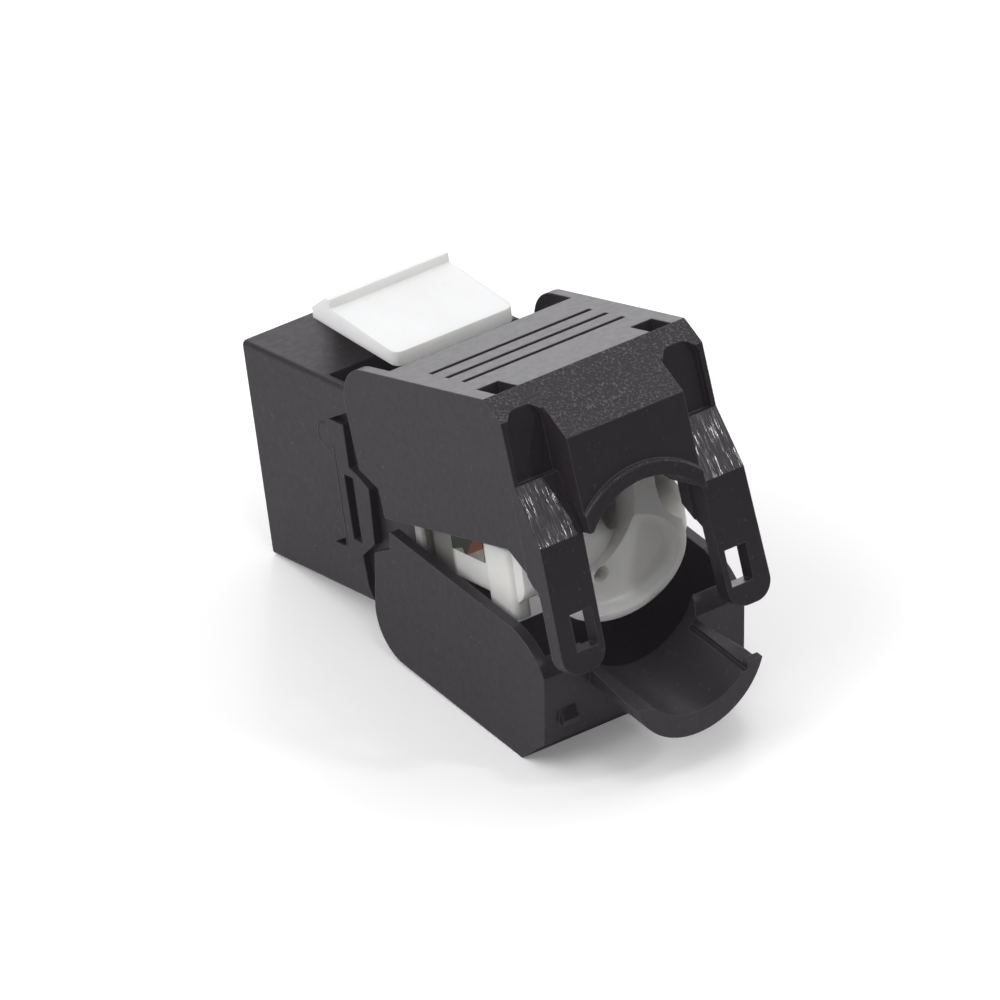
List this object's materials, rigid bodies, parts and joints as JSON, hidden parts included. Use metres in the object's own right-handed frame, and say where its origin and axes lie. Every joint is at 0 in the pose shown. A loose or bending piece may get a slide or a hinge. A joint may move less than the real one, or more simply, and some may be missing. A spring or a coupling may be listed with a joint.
{
  "type": "keystone jack",
  "caption": "Tool-less network jack: a boxy front housing with a plug port and a latch on top, and two hinged rear covers, part open, round a wire manager.",
  "frame": {"origin": "middle of the front face, where the plug's way crosses it", "axes": "+Y from the front face to the cable end, +Z towards the latch, +X to the left as seen from the front"},
  "size_m": [0.0174, 0.04, 0.027],
  "materials": {
    "housing_black": "fine spark-eroded texture",
    "latch_white": "smooth",
    "carrier_black": "smooth",
    "board_green": "solder mask",
    "block_grey": "smooth",
    "manager_white": "slightly translucent",
    "label_near": "printed colour blocks",
    "label_far": "printed colour blocks",
    "upper_black": "satin roof, coarse texture on the bevel",
    "lower_black": "fine spark-eroded texture",
    "contact_gold": "gold plated",
    "fork_tin": "tin plated"
  },
  "bodies": {
    "jack": {"front_housing": "housing_black", "contact_carrier": "carrier_black", "circuit_board": "board_green", "idc_block": "block_grey", "wire_manager": "manager_white", "colour_label_near": "label_near", "colour_label_far": "label_far", "plug_contact_1": "contact_gold", "plug_contact_2": "contact_gold", "plug_contact_3": "contact_gold", "plug_contact_4": "contact_gold", "plug_contact_5": "contact_gold", "plug_contact_6": "contact_gold", "plug_contact_7": "contact_gold", "plug_contact_8": "contact_gold", "idc_contact_1": "fork_tin", "idc_contact_2": "fork_tin", "idc_contact_3": "fork_tin", "idc_contact_4": "fork_tin", "idc_contact_5": "fork_tin", "idc_contact_6": "fork_tin", "idc_contact_7": "fork_tin", "idc_contact_8": "fork_tin"},
    "latch": {"keystone_latch": "latch_white"},
    "upper_cover": {"upper_jaw": "upper_black"},
    "lower_cover": {"lower_jaw": "lower_black"}
  },
  "joints": [
    {"name": "upper_cover_hinge", "type": "hinge", "parent": "jack", "child": "upper_cover", "pos_m": [0, 0.0155, 0.005], "axis": [1, 0, 0], "range_deg": [-8.1, 34]},
    {"name": "lower_cover_hinge", "type": "hinge", "parent": "jack", "child": "lower_cover", "pos_m": [0, 0.0155, -0.005], "axis": [-1, 0, 0], "range_deg": [-12.3, 37.7]},
    {"name": "latch_flex", "type": "hinge", "parent": "jack", "child": "latch", "pos_m": [0, 0.00135, 0.0075], "axis": [1, 0, 0], "range_deg": [-6.5, 0], "stiffness_Nm_per_rad": 0.3}
  ]
}
